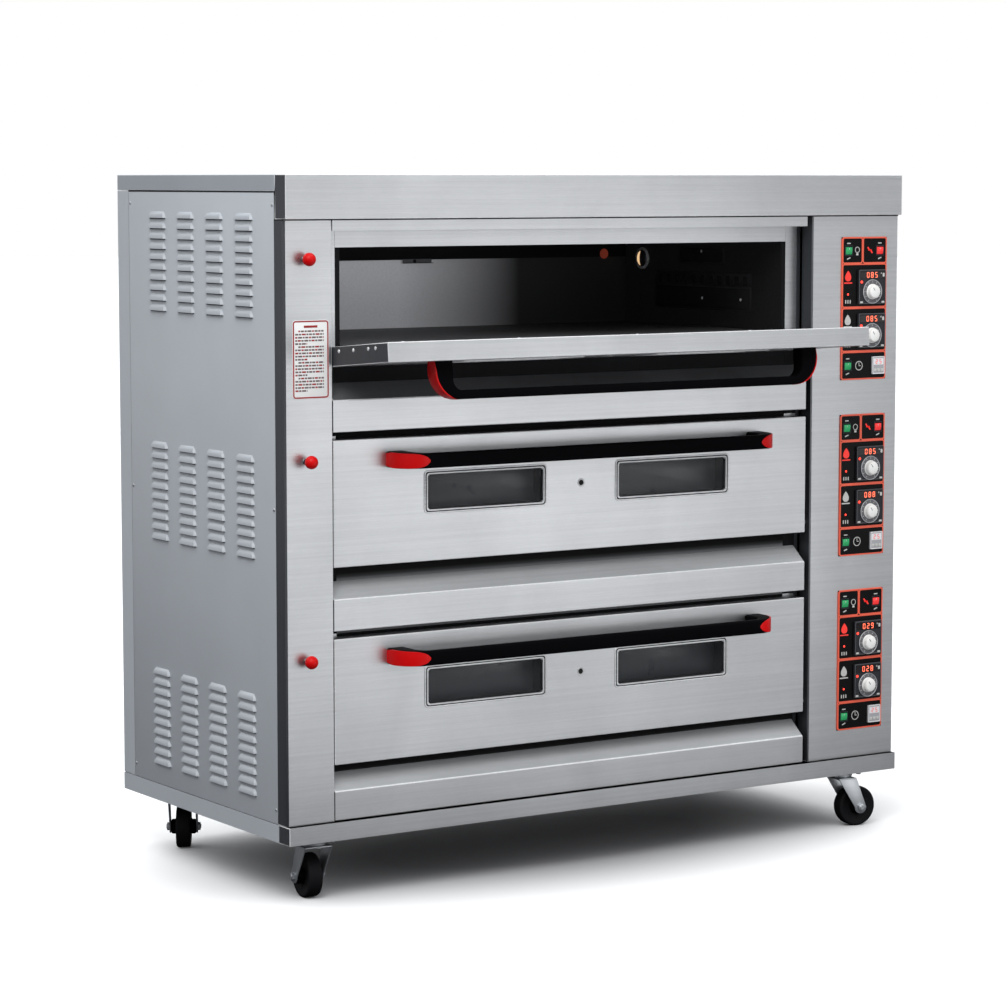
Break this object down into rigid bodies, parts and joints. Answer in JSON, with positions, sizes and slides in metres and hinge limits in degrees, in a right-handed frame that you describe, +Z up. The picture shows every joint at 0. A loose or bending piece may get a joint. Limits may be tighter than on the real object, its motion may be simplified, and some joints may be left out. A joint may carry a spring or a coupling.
{
  "type": "deck oven",
  "caption": "Stainless-fronted gas deck oven on swivel casters, with drop-down windowed doors, black bow handles, flue dampers and a control plate beside each deck.",
  "frame": {"origin": "on the floor under the middle of the overall box, with the top door open as it rests", "axes": "+X to the right along the front, +Y from front to back, +Z up"},
  "size_m": [1.752, 1.075, 1.625],
  "materials": {
    "stainless": "brushed stainless sheet",
    "enamel": "grey-blue stoved paint, semi-matt",
    "dark_steel": "heat-darkened aluminised sheet",
    "burner_steel": "dull pipe steel",
    "mineral_wool": "mineral wool slab",
    "black_panel": "glossy black overlay",
    "controller_plastic": "dark grey plastic",
    "timer_plastic": "light grey plastic",
    "lamp_glass": "clear glass lamp cover",
    "zinc": "zinc-plated steel",
    "window_glass": "dark tempered glass",
    "handle_black": "black moulded plastic",
    "red_ball": "red ball knob on a steel rod",
    "green_rocker": "translucent green rocker",
    "red_rocker": "translucent red rocker",
    "dial_white": "white knob",
    "wheel_rubber": "black rubber tread"
  },
  "bodies": {
    "oven": {"base_frame": "enamel", "base_trim": "stainless", "header_trim": "stainless", "top_cover": "enamel", "left_side_panel": "enamel", "right_side_panel": "enamel", "back_panel": "enamel", "left_column": "stainless", "right_column": "stainless", "deck_fascias": "stainless", "face_frame": "dark_steel", "lower_chamber": "dark_steel", "middle_chamber": "dark_steel", "upper_chamber": "dark_steel", "deck_plates": "dark_steel", "burners": "burner_steel", "gas_manifold": "burner_steel", "flue_pipes": "burner_steel", "insulation": "mineral_wool", "control_plates": "black_panel", "temperature_controllers": "controller_plastic", "timers": "timer_plastic", "oven_lamps": "lamp_glass", "caster_plates": "zinc", "panel_screws": "zinc"},
    "lower_door": {"lower_door": "stainless", "lower_door_glass": "window_glass", "lower_door_handle": "handle_black"},
    "middle_door": {"middle_door": "stainless", "middle_door_glass": "window_glass", "middle_door_handle": "handle_black"},
    "upper_door": {"upper_door": "stainless", "upper_door_glass": "window_glass", "upper_door_handle": "handle_black"},
    "lower_damper": {"lower_damper": "red_ball"},
    "middle_damper": {"middle_damper": "red_ball"},
    "upper_damper": {"upper_damper": "red_ball"},
    "lower_lamp_switch": {"lower_lamp_switch": "green_rocker"},
    "middle_lamp_switch": {"middle_lamp_switch": "green_rocker"},
    "upper_lamp_switch": {"upper_lamp_switch": "green_rocker"},
    "lower_power_switch": {"lower_power_switch": "red_rocker"},
    "middle_power_switch": {"middle_power_switch": "red_rocker"},
    "upper_power_switch": {"upper_power_switch": "red_rocker"},
    "lower_timer_switch": {"lower_timer_switch": "green_rocker"},
    "middle_timer_switch": {"middle_timer_switch": "green_rocker"},
    "upper_timer_switch": {"upper_timer_switch": "green_rocker"},
    "lower_top_heat_dial": {"lower_top_heat_dial": "dial_white"},
    "middle_top_heat_dial": {"middle_top_heat_dial": "dial_white"},
    "upper_top_heat_dial": {"upper_top_heat_dial": "dial_white"},
    "lower_bottom_heat_dial": {"lower_bottom_heat_dial": "dial_white"},
    "middle_bottom_heat_dial": {"middle_bottom_heat_dial": "dial_white"},
    "upper_bottom_heat_dial": {"upper_bottom_heat_dial": "dial_white"},
    "front_left_fork": {"front_left_fork": "zinc"},
    "front_left_wheel": {"front_left_wheel": "wheel_rubber"},
    "front_right_fork": {"front_right_fork": "zinc"},
    "front_right_wheel": {"front_right_wheel": "wheel_rubber"},
    "rear_left_fork": {"rear_left_fork": "zinc"},
    "rear_left_wheel": {"rear_left_wheel": "wheel_rubber"},
    "rear_right_fork": {"rear_right_fork": "zinc"},
    "rear_right_wheel": {"rear_right_wheel": "wheel_rubber"}
  },
  "joints": [
    {"name": "lower_door_hinge", "type": "hinge", "parent": "oven", "child": "lower_door", "pos_m": [-0.079, -0.27554, 0.3315], "axis": [1, 0, 0], "range_deg": [0, 85]},
    {"name": "middle_door_hinge", "type": "hinge", "parent": "oven", "child": "middle_door", "pos_m": [-0.079, -0.27554, 0.7765], "axis": [1, 0, 0], "range_deg": [0, 85]},
    {"name": "upper_door_hinge", "type": "hinge", "parent": "oven", "child": "upper_door", "pos_m": [-0.079, -0.27554, 1.2215], "axis": [1, 0, 0], "range_deg": [-85, 0]},
    {"name": "lower_damper_slide", "type": "slide", "parent": "oven", "child": "lower_damper", "axis": [0, -1, 0], "range_m": [0, 0.06]},
    {"name": "middle_damper_slide", "type": "slide", "parent": "oven", "child": "middle_damper", "axis": [0, -1, 0], "range_m": [-0.005, 0.055]},
    {"name": "upper_damper_slide", "type": "slide", "parent": "oven", "child": "upper_damper", "axis": [0, -1, 0], "range_m": [0, 0.06]},
    {"name": "lower_lamp_switch_rock", "type": "hinge", "parent": "oven", "child": "lower_lamp_switch", "pos_m": [0.7125, -0.29904, 0.568], "axis": [1, 0, 0], "range_deg": [-12, 0]},
    {"name": "middle_lamp_switch_rock", "type": "hinge", "parent": "oven", "child": "middle_lamp_switch", "pos_m": [0.7125, -0.29904, 1.004], "axis": [1, 0, 0], "range_deg": [-12, 0]},
    {"name": "upper_lamp_switch_rock", "type": "hinge", "parent": "oven", "child": "upper_lamp_switch", "pos_m": [0.7125, -0.29904, 1.44], "axis": [1, 0, 0], "range_deg": [-12, 0]},
    {"name": "lower_power_switch_rock", "type": "hinge", "parent": "oven", "child": "lower_power_switch", "pos_m": [0.8105, -0.29904, 0.568], "axis": [1, 0, 0], "range_deg": [-12, 0]},
    {"name": "middle_power_switch_rock", "type": "hinge", "parent": "oven", "child": "middle_power_switch", "pos_m": [0.8105, -0.29904, 1.004], "axis": [1, 0, 0], "range_deg": [-12, 0]},
    {"name": "upper_power_switch_rock", "type": "hinge", "parent": "oven", "child": "upper_power_switch", "pos_m": [0.8105, -0.29904, 1.44], "axis": [1, 0, 0], "range_deg": [-12, 0]},
    {"name": "lower_timer_switch_rock", "type": "hinge", "parent": "oven", "child": "lower_timer_switch", "pos_m": [0.7125, -0.29904, 0.285], "axis": [1, 0, 0], "range_deg": [-12, 0]},
    {"name": "middle_timer_switch_rock", "type": "hinge", "parent": "oven", "child": "middle_timer_switch", "pos_m": [0.7125, -0.29904, 0.721], "axis": [1, 0, 0], "range_deg": [-12, 0]},
    {"name": "upper_timer_switch_rock", "type": "hinge", "parent": "oven", "child": "upper_timer_switch", "pos_m": [0.7125, -0.29904, 1.157], "axis": [1, 0, 0], "range_deg": [-12, 0]},
    {"name": "lower_top_heat_dial_turn", "type": "hinge", "parent": "oven", "child": "lower_top_heat_dial", "pos_m": [0.7835, -0.30554, 0.467], "axis": [0, -1, 0], "range_deg": [-150, 150]},
    {"name": "middle_top_heat_dial_turn", "type": "hinge", "parent": "oven", "child": "middle_top_heat_dial", "pos_m": [0.7835, -0.30554, 0.903], "axis": [0, -1, 0], "range_deg": [-150, 150]},
    {"name": "upper_top_heat_dial_turn", "type": "hinge", "parent": "oven", "child": "upper_top_heat_dial", "pos_m": [0.7835, -0.30554, 1.339], "axis": [0, -1, 0], "range_deg": [-150, 150]},
    {"name": "lower_bottom_heat_dial_turn", "type": "hinge", "parent": "oven", "child": "lower_bottom_heat_dial", "pos_m": [0.7835, -0.30554, 0.3595], "axis": [0, -1, 0], "range_deg": [-150, 150]},
    {"name": "middle_bottom_heat_dial_turn", "type": "hinge", "parent": "oven", "child": "middle_bottom_heat_dial", "pos_m": [0.7835, -0.30554, 0.7955], "axis": [0, -1, 0], "range_deg": [-150, 150]},
    {"name": "upper_bottom_heat_dial_turn", "type": "hinge", "parent": "oven", "child": "upper_bottom_heat_dial", "pos_m": [0.7835, -0.30554, 1.2315], "axis": [0, -1, 0], "range_deg": [-150, 150]},
    {"name": "front_left_swivel", "type": "hinge", "parent": "oven", "child": "front_left_fork", "pos_m": [-0.779, -0.26154, 0.13], "axis": [0, 0, 1], "continuous": true},
    {"name": "front_left_roll", "type": "hinge", "parent": "front_left_fork", "child": "front_left_wheel", "pos_m": [-0.77569, -0.22368, 0.05], "axis": [0.9962, -0.0872, 0], "continuous": true},
    {"name": "front_right_swivel", "type": "hinge", "parent": "oven", "child": "front_right_fork", "pos_m": [0.738, -0.26154, 0.13], "axis": [0, 0, 1], "continuous": true},
    {"name": "front_right_roll", "type": "hinge", "parent": "front_right_fork", "child": "front_right_wheel", "pos_m": [0.77553, -0.26748, 0.05], "axis": [-0.1564, -0.9877, 0], "continuous": true},
    {"name": "rear_left_swivel", "type": "hinge", "parent": "oven", "child": "rear_left_fork", "pos_m": [-0.779, 0.38046, 0.13], "axis": [0, 0, 1], "continuous": true},
    {"name": "rear_left_roll", "type": "hinge", "parent": "rear_left_fork", "child": "rear_left_wheel", "pos_m": [-0.75943, 0.41303, 0.05], "axis": [0.8572, -0.515, 0], "continuous": true},
    {"name": "rear_right_swivel", "type": "hinge", "parent": "oven", "child": "rear_right_fork", "pos_m": [0.738, 0.38046, 0.13], "axis": [0, 0, 1], "continuous": true},
    {"name": "rear_right_roll", "type": "hinge", "parent": "rear_right_fork", "child": "rear_right_wheel", "pos_m": [0.74784, 0.41717, 0.05], "axis": [0.9659, -0.2588, 0], "continuous": true}
  ]
}
